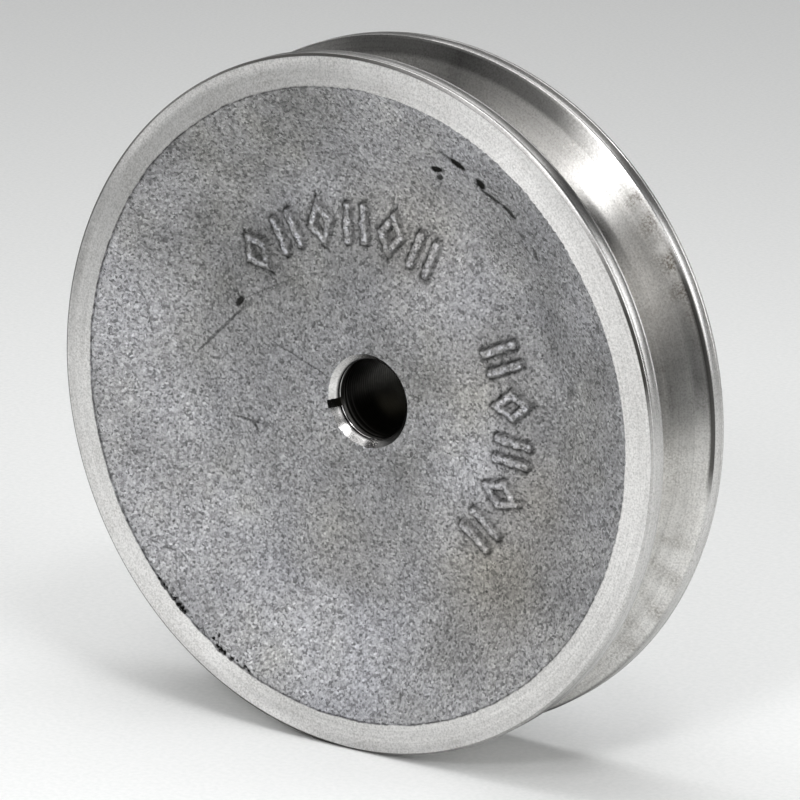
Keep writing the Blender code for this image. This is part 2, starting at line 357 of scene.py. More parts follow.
for k in range(6):
    a = radians(108.0 + 72.0 * k / 5)
    side.append(((centre[0] + 1.0 * cos(a), centre[1] + 1.0 * sin(a)), WALL))
mirror = [((p[0], -p[1]), m) for p, m in side[::-1]]
shifted = []
for k, (p, m) in enumerate(mirror):                     # bands belong to the ring they start from
    nxt = mirror[k + 1][1] if k + 1 < len(mirror) else LANDS
    shifted.append((p, nxt))
for p, m in side + [((root_r, 0.0), WALL)] + shifted:
    add(ring_of(*p), m)
mats[-1] = FACE
for s in (1.0, 0.5, 0.04):
    add((r_edge_back + (R_OUT - 0.53 - r_edge_back) * s, np.full(NA, -HALF_W)), FACE)
add((r_edge_back.copy(), np.full(NA, -HALF_W)), CAST)


# back of the web, down to the hub's foot and up the rear boss
def back_base(r):
    floor = -(HALF_W - D_BACK)
    cone = -HALF_W + (R_RING - r) * BACK_SLOPE
    d = floor - cone
    return 0.5 * (floor + cone - np.sqrt(d * d + 1.3 ** 2))


NB = 42
R_FOOT = 19.6
for i in range(1, NB + 1):
    s = i / NB
    r = r_edge_back + (R_FOOT - r_edge_back) * s
    x, y = r * np.cos(theta), r * np.sin(theta)
    z = back_base(r) - back_uneven(x, y) * smoothstep(18.0, 24.0, r) + 0.030 * wave_fine(x + 40.0, y)
    z = np.maximum(z, -HALF_W + 0.05)
    add((r, z), CAST)
fr = R_FOOT - R_HUB - 0.25
zf = float(back_base(R_FOOT))
for k in range(1, 7):                                   # foot fillet
    a = radians(90.0 + 90.0 * k / 6)
    add(ring_of(R_FOOT + fr * cos(a), zf - fr + fr * sin(a)), CAST)
zs = zf - fr
for k in range(1, 19):
    s = k / 18
    z = zs + (-HUB_END + 0.75 - zs) * s
    r = R_HUB + 0.25 * (1.0 - s) - 0.05 + 0.05 * hub_skin(theta * R_HUB, np.full(NA, z) * 1.0) * (1.0 - 0.6 * s)
    add((np.minimum(r, R_HUB + 0.3), np.full(NA, z)), CAST)
mats[-1] = LANDS
add(ring_of(R_HUB - 0.12, -HUB_END + 0.55), LANDS)
add(ring_of(R_HUB - 0.62, -HUB_END + 0.05), LANDS)
add(ring_of(R_HUB - 0.70, -HUB_END), FACE)
add(ring_of(13.2, -HUB_END), FACE)
add(ring_of(R_SLEEVE + 0.14, -HUB_END), BORE)
add(ring_of(R_SLEEVE + 0.05, -HUB_END + 0.1), BORE)
for z in (-16.0, -8.0, 0.0):
    add(ring_of(R_SLEEVE + 0.05, z), BORE)
add(ring_of(R_SLEEVE + 0.05, SHOULDER_Z), BORE)

# Round-topped notch across the chamfer and the lip.
turn = (theta - NOTCH_A + pi) % (2.0 * pi) - pi
mouth = range(0, 13)
for k in mouth:
    r, z = rings[k]
    inside = np.abs(r * np.sin(turn)) < NOTCH_HALF
    inside &= np.abs(turn) < 0.3
    r = r.copy()
    r[inside] = np.maximum(r[inside], NOTCH_R)
    rings[k] = (r, z)


def band_mesh(name, rings, mats, materials):
    """Closed mesh from rings round the Y axis."""
    p = len(rings)
    n = len(rings[0][0])
    th = np.linspace(0.0, 2.0 * pi, n, endpoint=False)
    rr = np.stack([q[0] for q in rings])
    zz = np.stack([q[1] for q in rings])
    co = np.empty((p, n, 3))
    co[..., 0] = rr * np.cos(th)
    co[..., 1] = -zz
    co[..., 2] = rr * np.sin(th)
    idx = np.arange(p * n).reshape(p, n)
    a, b = idx, np.roll(idx, -1, axis=0)
    quads = np.stack([a, np.roll(a, -1, axis=1), np.roll(b, -1, axis=1), b], axis=-1).reshape(-1, 4)
    me = bpy.data.meshes.new(name)
    me.vertices.add(p * n)
    me.vertices.foreach_set("co", (co * MM).astype(np.float32).ravel())
    me.loops.add(quads.size)
    me.loops.foreach_set("vertex_index", quads.astype(np.int32).ravel())
    me.polygons.add(len(quads))
    me.polygons.foreach_set("loop_start", np.arange(0, quads.size, 4, dtype=np.int32))
    me.polygons.foreach_set("material_index", np.repeat(np.array(mats, np.int32), n))
    for m in materials:
        me.materials.append(m)
    me.update(calc_edges=True)
    me.validate()
    bm = bmesh.new()
    bm.from_mesh(me)
    if bm.calc_volume(signed=True) < 0.0:
        bmesh.ops.reverse_faces(bm, faces=bm.faces)
        bm.to_mesh(me)
    bm.free()
    ob = bpy.data.objects.new(name, me)
    bpy.context.scene.collection.objects.link(ob)
    return ob


def soften(ob, degrees=32.0):
    me = ob.data
    me.polygons.foreach_set("use_smooth", np.ones(len(me.polygons), bool))
    me.set_sharp_from_angle(angle=radians(degrees))
    me.update()


def apply_boolean(ob, tool, operation='DIFFERENCE', solver='EXACT'):
    m = ob.modifiers.new("cut", 'BOOLEAN')
    m.object, m.operation, m.solver = tool, operation, solver
    bpy.context.view_layer.update()
    ev = ob.evaluated_get(bpy.context.evaluated_depsgraph_get())
    new = bpy.data.meshes.new_from_object(ev)
    ob.modifiers.remove(m)
    old = ob.data
    ob.data = new
    bpy.data.meshes.remove(old)


# ------------------------------------------------------------------ materials
def new_material(name):
    m = bpy.data.materials.new(name)
    m.use_nodes = True
    nt = m.node_tree
    return m, nt, nt.nodes["Principled BSDF"]


def node(nt, kind, **values):
    n = nt.nodes.new(kind)
    for k, v in values.items():
        setattr(n, k, v)
    return n


def noise(nt, coord, scale, detail=2.0, rough=0.5, distortion=0.0):
    n = node(nt, "ShaderNodeTexNoise")
    n.inputs["Scale"].default_value = scale
    n.inputs["Detail"].default_value = detail
    n.inputs["Roughness"].default_value = rough
    n.inputs["Distortion"].default_value = distortion
    nt.links.new(coord, n.inputs["Vector"])
    return n.outputs["Fac"]


def ramp(nt, fac, stops, interpolation='LINEAR'):
    n = node(nt, "ShaderNodeValToRGB")
    n.color_ramp.interpolation = interpolation
    e = n.color_ramp.elements
    while len(e) < len(stops):
        e.new(0.5)
    for el, (pos, col) in zip(e, stops):
        el.position = pos
        el.color = (*col, 1.0) if len(col) == 3 else col
    nt.links.new(fac, n.inputs["Fac"])
    return n.outputs["Color"]


def grey(v):
    return (v, v, v)


def math(nt, op, a, b=None, clamp=False):
    n = node(nt, "ShaderNodeMath", operation=op, use_clamp=clamp)
    for i, v in enumerate((a, b)):
        if v is None:
            continue
        if isinstance(v, (int, float)):
            n.inputs[i].default_value = v
        else:
            nt.links.new(v, n.inputs[i])
    return n.outputs[0]


def mix_colour(nt, fac, a, b, blend='MIX'):
    n = node(nt, "ShaderNodeMix", data_type='RGBA', blend_type=blend)
    for i, v in ((0, fac), (6, a), (7, b)):
        if isinstance(v, (int, float)):
            n.inputs[i].default_value = v
        elif isinstance(v, tuple):
            n.inputs[i].default_value = (*v, 1.0)
        else:
            nt.links.new(v, n.inputs[i])
    return n.outputs[2]


def bump(nt, height, strength, distance, normal=None):
    n = node(nt, "ShaderNodeBump")
    n.inputs["Strength"].default_value = strength
    n.inputs["Distance"].default_value = distance
    nt.links.new(height, n.inputs["Height"])
    if normal is not None:
        nt.links.new(normal, n.inputs["Normal"])
    return n.outputs["Normal"]


def object_coords(nt):
    return node(nt, "ShaderNodeTexCoord").outputs["Object"]


def polar(nt, co):
    """(distance from the spin axis, angle round it, distance along it) of a point, as three sockets."""
    sep = node(nt, "ShaderNodeSeparateXYZ")
    nt.links.new(co, sep.inputs[0])
    x, y, z = sep.outputs
    r = math(nt, 'SQRT', math(nt, 'ADD', math(nt, 'MULTIPLY', x, x), math(nt, 'MULTIPLY', z, z)))
    a = math(nt, 'ARCTAN2', z, x)
    return r, a, y


def combine(nt, x, y, z):
    n = node(nt, "ShaderNodeCombineXYZ")
    for i, v in enumerate((x, y, z)):
        if isinstance(v, (int, float)):
            n.inputs[i].default_value = v
        else:
            nt.links.new(v, n.inputs[i])
    return n.outputs[0]


def attribute(nt, name):
    return node(nt, "ShaderNodeAttribute", attribute_type='GEOMETRY', attribute_name=name).outputs["Fac"]


FLAWS = (      # x, y, half length, half width (mm), direction (degrees), strength: dark gouges and scratches
    (17.4, 48.2, 1.35, 0.55, 0.0, 1.0), (17.8, 46.6, 0.75, 0.50, 30.0, 0.9), (23.2, 50.2, 1.9, 0.62, -24.0, 1.0),
    (20.4, 51.6, 1.3, 0.35, -28.0, 0.6), (28.2, 47.0, 1.2, 0.85, -40.0, 1.0), (30.6, 44.8, 2.6, 0.32, -25.0, 0.85),
    (34.6, 42.7, 1.9, 0.42, -34.0, 0.9), (37.2, 38.4, 1.0, 0.45, -40.0, 0.6), (40.2, 35.2, 1.3, 0.38, -70.0, 0.6),
    (-35.4, 8.9, 8.4, 0.26, 42.6, 0.55), (-30.7, 15.2, 1.3, 0.60, 50.0, 0.95), (-23.6, 18.8, 7.0, 0.20, 26.0, 0.40),
    (-51.7, 14.6, 2.3, 0.22, -70.0, 0.40), (-50.5, 9.7, 3.2, 0.22, -81.0, 0.40), (-16.0, 5.9, 7.8, 0.18, -20.5, 0.45),
    (-29.0, -8.3, 3.1, 0.28, -5.0, 0.60), (-26.8, -9.5, 1.1, 0.30, -60.0, 0.55), (46.8, 9.5, 1.7, 0.9, 75.0, 0.40),
)


def cast_material():
    m, nt, b = new_material("cast_skin")
    co = object_coords(nt)
    rag = node(nt, "ShaderNodeTexNoise")
    rag.inputs["Scale"].default_value = 2300.0
    nt.links.new(co, rag.inputs["Vector"])
    rag_mm = node(nt, "ShaderNodeVectorMath", operation='MULTIPLY_ADD')
    nt.links.new(rag.outputs["Color"], rag_mm.inputs[0])
    rag_mm.inputs[1].default_value = (0.0007, 0.0, 0.0007)
    nt.links.new(co, rag_mm.inputs[2])
    flaw = None
    opened = tuple(((R_RING + 0.2 + off) * cos(radians(a)), (R_RING + 0.2 + off) * sin(radians(a)), size * 1.15, size * 0.75, a + 90.0, 1.0)
                   for a, off, size in OPENED)
    for fx, fy, hl, hw, deg, strength in FLAWS + opened:
        at = node(nt, "ShaderNodeMapping", vector_type='TEXTURE')
        at.inputs["Location"].default_value = ((fx + 0.35) * MM, 0.0, (fy + 0.35) * MM)
        at.inputs["Rotation"].default_value = (0.0, -radians(deg), 0.0)
        at.inputs["Scale"].default_value = (hl * MM, 1000.0, hw * MM)
        nt.links.new(rag_mm.outputs[0], at.inputs["Vector"])
        far = node(nt, "ShaderNodeVectorMath", operation='LENGTH')
        nt.links.new(at.outputs[0], far.inputs[0])
        one = node(nt, "ShaderNodeMath", operation='MULTIPLY_ADD', use_clamp=True)
        nt.links.new(far.outputs["Value"], one.inputs[0])
        one.inputs[1].default_value = -2.2 * strength
        one.inputs[2].default_value = 2.9 * strength
        cap = math(nt, 'MINIMUM', one.outputs[0], strength)
        flaw = cap if flaw is None else math(nt, 'MAXIMUM', flaw, cap)
    holes = node(nt, "ShaderNodeTexVoronoi", feature='F1')
    holes.inputs["Scale"].default_value = 250.0
    nt.links.new(rag_mm.outputs[0], holes.inputs["Vector"])
    chosen = node(nt, "ShaderNodeSeparateColor")
    nt.links.new(holes.outputs["Color"], chosen.inputs[0])
    pit = math(nt, 'MULTIPLY', math(nt, 'LESS_THAN', holes.outputs["Distance"], 0.075),
               math(nt, 'GREATER_THAN', chosen.outputs[0], 0.86))
    flaw = math(nt, 'MAXIMUM', flaw, math(nt, 'MULTIPLY', pit, 0.7))
    cells = node(nt, "ShaderNodeTexVoronoi", feature='F1')
    cells.inputs["Scale"].default_value = 2150.0
    cells.inputs["Randomness"].default_value = 1.0
    warp = node(nt, "ShaderNodeVectorMath", operation='ADD')
    nt.links.new(co, warp.inputs[0])
    jig = node(nt, "ShaderNodeTexNoise")
    jig.inputs["Scale"].default_value = 900.0
    nt.links.new(co, jig.inputs["Vector"])
    small = node(nt, "ShaderNodeVectorMath", operation='SCALE')
    nt.links.new(jig.outputs["Color"], small.inputs[0])
    small.inputs["Scale"].default_value = 0.0006
    nt.links.new(small.outputs[0], warp.inputs[1])
    nt.links.new(warp.outputs[0], cells.inputs["Vector"])
    pick = node(nt, "ShaderNodeSeparateColor")
    nt.links.new(cells.outputs["Color"], pick.inputs[0])
    speck = pick.outputs[0]
    sand = math(nt, 'SUBTRACT', 1.0, cells.outputs["Distance"])
    grain = noise(nt, co, 1900.0, 2.0, 0.6)
    grit = noise(nt, co, 4200.0, 1.0, 0.5)
    patch = noise(nt, co, 60.0, 3.0, 0.6)
    stain = noise(nt, co, 34.0, 4.0, 0.62, 0.6)
    salt = ramp(nt, speck, [(0.0, grey(0.13)), (0.16, grey(0.22)), (0.45, grey(0.34)), (0.90, grey(0.43)), (1.0, grey(0.54))])
    pepper = ramp(nt, grain, [(0.28, grey(0.60)), (0.5, grey(1.0)), (0.74, grey(1.26))])
    col = mix_colour(nt, 1.0, salt, pepper, 'MULTIPLY')
    tint = ramp(nt, patch, [(0.30, (0.90, 0.905, 0.95)), (0.55, (1.0, 1.0, 1.02)), (0.75, (1.09, 1.085, 1.06))])
    col = mix_colour(nt, 1.0, col, tint, 'MULTIPLY')
    tone = attribute(nt, "tone")
    tone = math(nt, 'ADD', tone, math(nt, 'MULTIPLY', math(nt, 'SUBTRACT', stain, 0.5), 0.30))
    lift = ramp(nt, tone, [(0.0, (0.52, 0.52, 0.50)), (0.5, grey(1.0)), (1.0, (1.46, 1.47, 1.52))])
    col = mix_colour(nt, 1.0, col, lift, 'MULTIPLY')
    oil = attribute(nt, "stain")
    col = mix_colour(nt, math(nt, 'MULTIPLY', oil, 0.7), col, mix_colour(nt, 1.0, col, (0.86, 0.80, 0.66), 'MULTIPLY'))
    # painted shade from the vertex attribute (flanks of the marks, gouges, pores, rims), then joined with the dark flaw
    # marks
    painted_shade_and_flaws = math(nt, 'MULTIPLY', attribute(nt, "painted_shade_and_flaws"), ramp(nt, grit, [(0.3, grey(1.0)), (0.7, grey(0.78))]))
    front_side = math(nt, 'LESS_THAN', polar(nt, co)[2], 0.0)
    flaw = math(nt, 'MULTIPLY', flaw, front_side)
    painted_shade_and_flaws = math(nt, 'MAXIMUM', painted_shade_and_flaws, flaw)
    col = mix_colour(nt, painted_shade_and_flaws, col, (0.011, 0.011, 0.010))
    nt.links.new(col, b.inputs["Base Color"])
    b.inputs["Metallic"].default_value = 0.30
    nt.links.new(math(nt, 'SUBTRACT', 0.5, math(nt, 'MULTIPLY', painted_shade_and_flaws, 0.42)), b.inputs["Specular IOR Level"])
    rough = ramp(nt, grain, [(0.3, grey(0.72)), (0.7, grey(0.54))])
    nt.links.new(rough, b.inputs["Roughness"])
    n1 = bump(nt, math(nt, 'ADD', sand, math(nt, 'MULTIPLY', speck, 0.6)), 0.42, 0.00016)
    n2 = bump(nt, grain, 0.5, 0.00022, n1)
    n3 = bump(nt, math(nt, 'SUBTRACT', 1.0, flaw), 0.8, 0.00030, n2)
    nt.links.new(n3, b.inputs["Normal"])
    return m


def turned_material(name, base, rough, aniso, lines, line_depth, stain_amount=0.1, along="r", mottle=0.1):
    """Lathe-turned metal: fine rings round the axis, with the highlight drawn out across them."""
    m, nt, b = new_material(name)
    co = object_coords(nt)
    r, a, y = polar(nt, co)
    across = math(nt, 'ADD', r, math(nt, 'MULTIPLY', y, 1.0)) if along == "r" else math(nt, 'ADD', y, math(nt, 'MULTIPLY', r, 0.3))
    fine = noise(nt, combine(nt, math(nt, 'MULTIPLY', across, lines), math(nt, 'MULTIPLY', a, 0.8), 0.0), 1.0, 2.0, 0.6)
    band = noise(nt, combine(nt, math(nt, 'MULTIPLY', across, lines * 0.14), math(nt, 'MULTIPLY', a, 2.2), 3.0), 1.0, 3.0, 0.6)
    blot = noise(nt, co, 2300.0, 1.0, 0.5)
    grit = noise(nt, co, 2700.0, 1.0, 0.5)
    big = noise(nt, co, 90.0, 3.0, 0.6)
    lo, hi = tuple(c * (1.0 - mottle) for c in base), tuple(min(1.0, c * (1.0 + mottle * 0.6)) for c in base)
    col = ramp(nt, fine, [(0.30, lo), (0.5, base), (0.72, hi)])
    streak = ramp(nt, band, [(0.32, grey(1.0 - mottle)), (0.55, grey(1.0))])
    col = mix_colour(nt, 1.0, col, streak, 'MULTIPLY')
    col = mix_colour(nt, 1.0, col, ramp(nt, grit, [(0.30, grey(0.80)), (0.5, grey(1.0)), (0.72, grey(1.12))]), 'MULTIPLY')
    spot = math(nt, 'MULTIPLY', ramp(nt, blot, [(0.44, grey(0.0)), (0.64, grey(1.0))]),
                ramp(nt, big, [(0.42, grey(0.0)), (0.66, grey(stain_amount))]))
    speck = noise(nt, co, 2200.0, 2.0, 0.6)
    worn = math(nt, 'MULTIPLY', attribute(nt, "stain"), ramp(nt, speck, [(0.36, grey(0.95)), (0.64, grey(0.15))]), clamp=True)
    spot = math(nt, 'MAXIMUM', spot, worn)
    col = mix_colour(nt, spot, col, (0.22, 0.19, 0.155))
    # brightness painted by angle from the tone attribute: painted reflections and highlights on the turned faces
    painted_light = ramp(nt, attribute(nt, "tone"), [(0.0, grey(0.0)), (1.0, grey(1.0))])
    col = mix_colour(nt, 1.0, col, painted_light, 'MULTIPLY')
    # painted shade along the flange edges and the rim of the ring
    col = mix_colour(nt, attribute(nt, "painted_shade_and_flaws"), col, (0.05, 0.048, 0.045))
    nt.links.new(col, b.inputs["Base Color"])
    b.inputs["Metallic"].default_value = 1.0
    rr = ramp(nt, band, [(0.3, grey(min(1.0, rough * 1.10))), (0.7, grey(rough * 0.95))])
    rr = math(nt, 'ADD', rr, math(nt, 'MULTIPLY', spot, 0.25), clamp=True)
    nt.links.new(rr, b.inputs["Roughness"])
    b.inputs["Anisotropic"].default_value = aniso
    b.inputs["Anisotropic Rotation"].default_value = 0.25
    t = node(nt, "ShaderNodeTangent", direction_type='RADIAL', axis='Y')
    nt.links.new(t.outputs[0], b.inputs["Tangent"])
    n1 = bump(nt, fine, 0.35, line_depth)
    nt.links.new(bump(nt, math(nt, 'MULTIPLY', spot, speck), 0.35, 0.00008, n1), b.inputs["Normal"])
    return m


def dark_steel(name, base, rough, grain_scale=900.0):
    m, nt, b = new_material(name)
    co = object_coords(nt)
    n1 = noise(nt, co, grain_scale, 3.0, 0.6)
    n2 = noise(nt, co, grain_scale * 0.12, 2.0, 0.6)
    col = ramp(nt, n1, [(0.3, tuple(c * 0.7 for c in base)), (0.55, base), (0.75, tuple(min(1, c * 1.7) for c in base))])
    col = mix_colour(nt, 1.0, col, ramp(nt, n2, [(0.35, (0.8, 0.8, 0.8)), (0.65, (1.15, 1.08, 0.98))]), 'MULTIPLY')
    col = mix_colour(nt, attribute(nt, "light_rings"), col, (0.42, 0.41, 0.40))
    col = mix_colour(nt, attribute(nt, "rust"), col, (0.055, 0.050, 0.034))
    nt.links.new(col, b.inputs["Base Color"])
    nt.links.new(math(nt, 'SUBTRACT', 0.9, math(nt, 'MULTIPLY', attribute(nt, "rust"), 0.85)), b.inputs["Metallic"])
    nt.links.new(math(nt, 'ADD', ramp(nt, n1, [(0.3, grey(rough * 1.2)), (0.7, grey(rough * 0.8))]),
                      math(nt, 'MULTIPLY', attribute(nt, "rust"), 0.35), clamp=True), b.inputs["Roughness"])
    nt.links.new(bump(nt, n1, 0.25, 0.00005), b.inputs["Normal"])
    return m


cast = cast_material()
face = turned_material("turned_face", (0.92, 0.91, 0.90), 0.38, 0.70, 2600.0, 0.00004, 0.25)
lands = turned_material("turned_lands", (0.90, 0.89, 0.875), 0.28, 0.90, 3200.0, 0.00003, 0.20, along="y")
wall = turned_material("groove_wall", (0.90, 0.89, 0.87), 0.30, 0.92, 3000.0, 0.00003, 0.30, mottle=0.12)
bored = turned_material("bored_mouth", (0.80, 0.79, 0.78), 0.22, 0.5, 3500.0, 0.00003, 0.1)
edge = turned_material("edge_break", (0.90, 0.89, 0.88), 0.52, 0.0, 3000.0, 0.00003, 0.3, along="y")
sleeve_steel = dark_steel("sleeve_steel", (0.013, 0.012, 0.009), 0.36)
screw_steel = dark_steel("black_oxide", (0.035, 0.035, 0.038), 0.42)

casting = band_mesh("casting", rings, mats, [cast, face, lands, wall, bored, edge])


# ------------------------------------------------------------------ screws, holes and sleeve
def radial_matrix(deg, station):
    """World matrix whose Z runs out along a spoke; deg from +X towards +Z."""
    a = radians(deg)
    z = Vector((cos(a), 0.0, sin(a)))
    x = Vector((0.0, -1.0, 0.0))
    y = z.cross(x)
    m = Matrix((x, y, z)).transposed().to_4x4()
    m.translation = Vector((0.0, station * MM, 0.0))
    return m


PITCH = 1.27


def thread_mesh(name, z0, z1, crest, root, steps, per_turn, taper0=0.0, taper1=0.0, cup=0.0, pad=0.0):
    """Closed threaded plug along Z (mm), crest and root radii, with its ends drawn in."""
    rows = int((z1 - z0) / PITCH * steps)
    verts, faces = [], []
    for i in range(rows + 1):
        z = z0 + (z1 - z0) * i / rows
        lim = crest
        if taper0 > 0.0:
            lim = min(lim, crest - taper0 + (z - z0) * (1.0 if taper0 < 0.8 else 1.0))
        if taper1 > 0.0:
            lim = min(lim, crest - taper1 + (z1 - z))
        for j in range(per_turn):
            ph = (z / PITCH - j / per_turn) % 1.0
            tri = 1.0 - abs(ph - 0.5) * 2.0
            tri = min(max((tri - 0.10) / 0.72, 0.0), 1.0)
            r = root + (crest - root) * tri
            r = min(r, max(lim, 0.3))
            a = 2.0 * pi * j / per_turn
            verts.append((r * cos(a), r * sin(a), z))
    for i in range(rows):
        for j in range(per_turn):
            k = (j + 1) % per_turn
            faces.append((i * per_turn + j, i * per_turn + k, (i + 1) * per_turn + k, (i + 1) * per_turn + j))
    top = rows * per_turn
    n = len(verts)
    # end faces: a ring drawn in to a small flat or a cup, then the centre
    rim_in = [(0.62 * verts[j][0], 0.62 * verts[j][1], z0 + 0.0) for j in range(per_turn)]
    verts += rim_in
    verts.append((0.0, 0.0, z0 + cup))
    for j in range(per_turn):
        k = (j + 1) % per_turn
        faces.append((j, n + j, n + k, k))
        faces.append((n + j, n + per_turn, n + k))
    verts.append((0.0, 0.0, z1))
    c = len(verts) - 1
    for j in range(per_turn):
        k = (j + 1) % per_turn
        faces.append((top + j, top + k, c))
    me = bpy.data.meshes.new(name)
    me.from_pydata([(x * MM, y * MM, z * MM) for x, y, z in verts], [], faces)
    bm = bmesh.new()
    bm.from_mesh(me)
    bmesh.ops.recalc_face_normals(bm, faces=bm.faces)
    if bm.calc_volume(signed=True) < 0.0:
        bmesh.ops.reverse_faces(bm, faces=bm.faces)
    bm.to_mesh(me)
    bm.free()
    ob = bpy.data.objects.new(name, me)
    bpy.context.scene.collection.objects.link(ob)
    return ob


def prism(name, sides, radius, z0, z1, spin=0.0, flare=None):
    bm = bmesh.new()
    bmesh.ops.create_cone(bm, cap_ends=True, segments=sides, radius1=radius * MM,
                          radius2=(flare if flare is not None else radius) * MM, depth=(z1 - z0) * MM,
                          matrix=Matrix.Translation((0, 0, (z0 + z1) / 2 * MM)) @ Matrix.Rotation(spin, 4, 'Z'))
    me = bpy.data.meshes.new(name)
    bm.to_mesh(me)
    bm.free()
    ob = bpy.data.objects.new(name, me)
    bpy.context.scene.collection.objects.link(ob)
    return ob


# sleeve: bored and turned steel tube
NS = 240
ts = np.linspace(0.0, 2.0 * pi, NS, endpoint=False)
s_rings, s_mats = [], []


def s_add(r, z):
    s_rings.append((np.full(NS, float(r)) if np.isscalar(r) else r, np.full(NS, float(z))))
    s_mats.append(0)


top = SHOULDER_Z - 0.03
s_add(R_BORE + 0.32, top)
s_add(R_SLEEVE - 0.4, top)
s_add(R_SLEEVE, top - 0.4)
s_add(R_SLEEVE, -HUB_END + 0.35)
s_add(R_SLEEVE - 0.15, -HUB_END + 0.2)
s_add(R_BORE + 0.75, -HUB_END + 0.2)
s_add(R_BORE + 0.1, -HUB_END + 0.85)
nb = 150
for i in range(nb):                                    # helical tool marks in the bore
    z = -HUB_END + 0.95 + (top - 0.32 + HUB_END - 0.95) * i / (nb - 1)
    ph = (z / 0.74 - ts / (2.0 * pi)) % 1.0
    deep = 0.012 + 0.050 * smoothstep(0.0, 3.0, z)
    s_add(R_BORE + deep - deep * np.cos(2.0 * pi * ph), z)
sleeve = band_mesh("sleeve", s_rings, s_mats, [sleeve_steel])

for label, deg in (("top", 90.0), ("side", 0.0)):
    m = radial_matrix(deg, SCREW_STATION)
    drill = thread_mesh("drill_" + label, 4.0, 20.0, 3.62, 3.27, 10, 48)
    drill.matrix_world = m
    sink = prism("sink_" + label, 64, 3.0, R_HUB - 0.95, R_HUB + 0.35, flare=4.3)
    sink.matrix_world = m
    bpy.context.view_layer.update()
    apply_boolean(casting, drill, solver='MANIFOLD')
    apply_boolean(casting, sink, solver='MANIFOLD')
    apply_boolean(sleeve, drill, solver='MANIFOLD')
    for o in (drill, sink):
        bpy.data.objects.remove(o, do_unlink=True)

    screw = thread_mesh("screw_" + label, SCREW_TIP, SCREW_TIP + SCREW_L, SCREW_R, 2.60, 14, 64,
                        taper0=1.15, taper1=0.55, cup=0.75)
    screw.data.materials.append(screw_steel)
    hexa = prism("hex_" + label, 6, SOCKET_AF / sqrt(3.0), SCREW_TIP + SCREW_L - 2.8, SCREW_TIP + SCREW_L + 1.0)
    cone = prism("cone_" + label, 48, 1.5, SCREW_TIP + SCREW_L - 0.32, SCREW_TIP + SCREW_L + 0.2, flare=2.06)
    bpy.context.view_layer.update()
    apply_boolean(screw, hexa, solver='EXACT')
    apply_boolean(screw, cone, solver='EXACT')
    for o in (hexa, cone):
        bpy.data.objects.remove(o, do_unlink=True)
    screw.data.transform(m)
    soften(screw, 30.0)
    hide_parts("set_screw_" + label)
    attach(screw, label + "_screw")

# Painted shade in the corners of the relief and along the rims, tone of the skin, and painted reflections on the turned
# faces, one value to a vertex.
TONES = (      # x, y, radius, change of tone; drawn over the casting's skin
    (-26.0, 30.0, 20.0, -0.42), (50.0, 10.0, 20.0, -0.30), (-10.0, -54.0, 20.0, 0.20), (-6.0, -6.0, 20.0, -0.18),
    (26.0, -6.0, 10.0, 0.30), (38.0, 38.0, 10.0, -0.30), (-18.0, 54.0, 10.0, -0.24), (46.0, -30.0, 20.0, -0.10),
    (-30.0, -30.0, 14.0, 0.15), (-18.0, 38.0, 10.0, 0.20), (2.0, -18.0, 10.0, -0.15), (6.0, 10.0, 10.0, -0.20),
    (22.0, 26.0, 14.0, 0.12), (22.0, -14.0, 7.0, 0.25), (18.0, -46.0, 7.0, -0.20), (2.0, -50.0, 10.0, 0.15),
    (-38.0, 46.0, 10.0, -0.22), (-38.0, 10.0, 7.0, -0.18), (-10.0, -30.0, 7.0, -0.14), (-26.0, -14.0, 7.0, -0.16),
    (-10.0, -10.0, 10.0, 0.15), (-14.0, 58.0, 10.0, -0.15), (7.0, -12.0, 5.0, -0.30), (12.0, 7.0, 5.0, -0.16),
    (12.5, -7.0, 5.0, -0.18), (-49.0, 28.5, 7.0, -0.16), (-56.0, 8.0, 10.0, 0.20), (-10.0, 56.0, 9.0, -0.12),
    (12.5, 21.7, 6.0, 0.22), (0.0, 25.0, 6.0, -0.16),
)
STAINS = ((30.0, -30.0, 13.0, 0.9), (40.0, -12.0, 9.0, 0.6), (12.0, 34.0, 12.0, 0.5), (26.0, 8.0, 10.0, 0.35), (-6.0, -30.0, 12.0, 0.3))
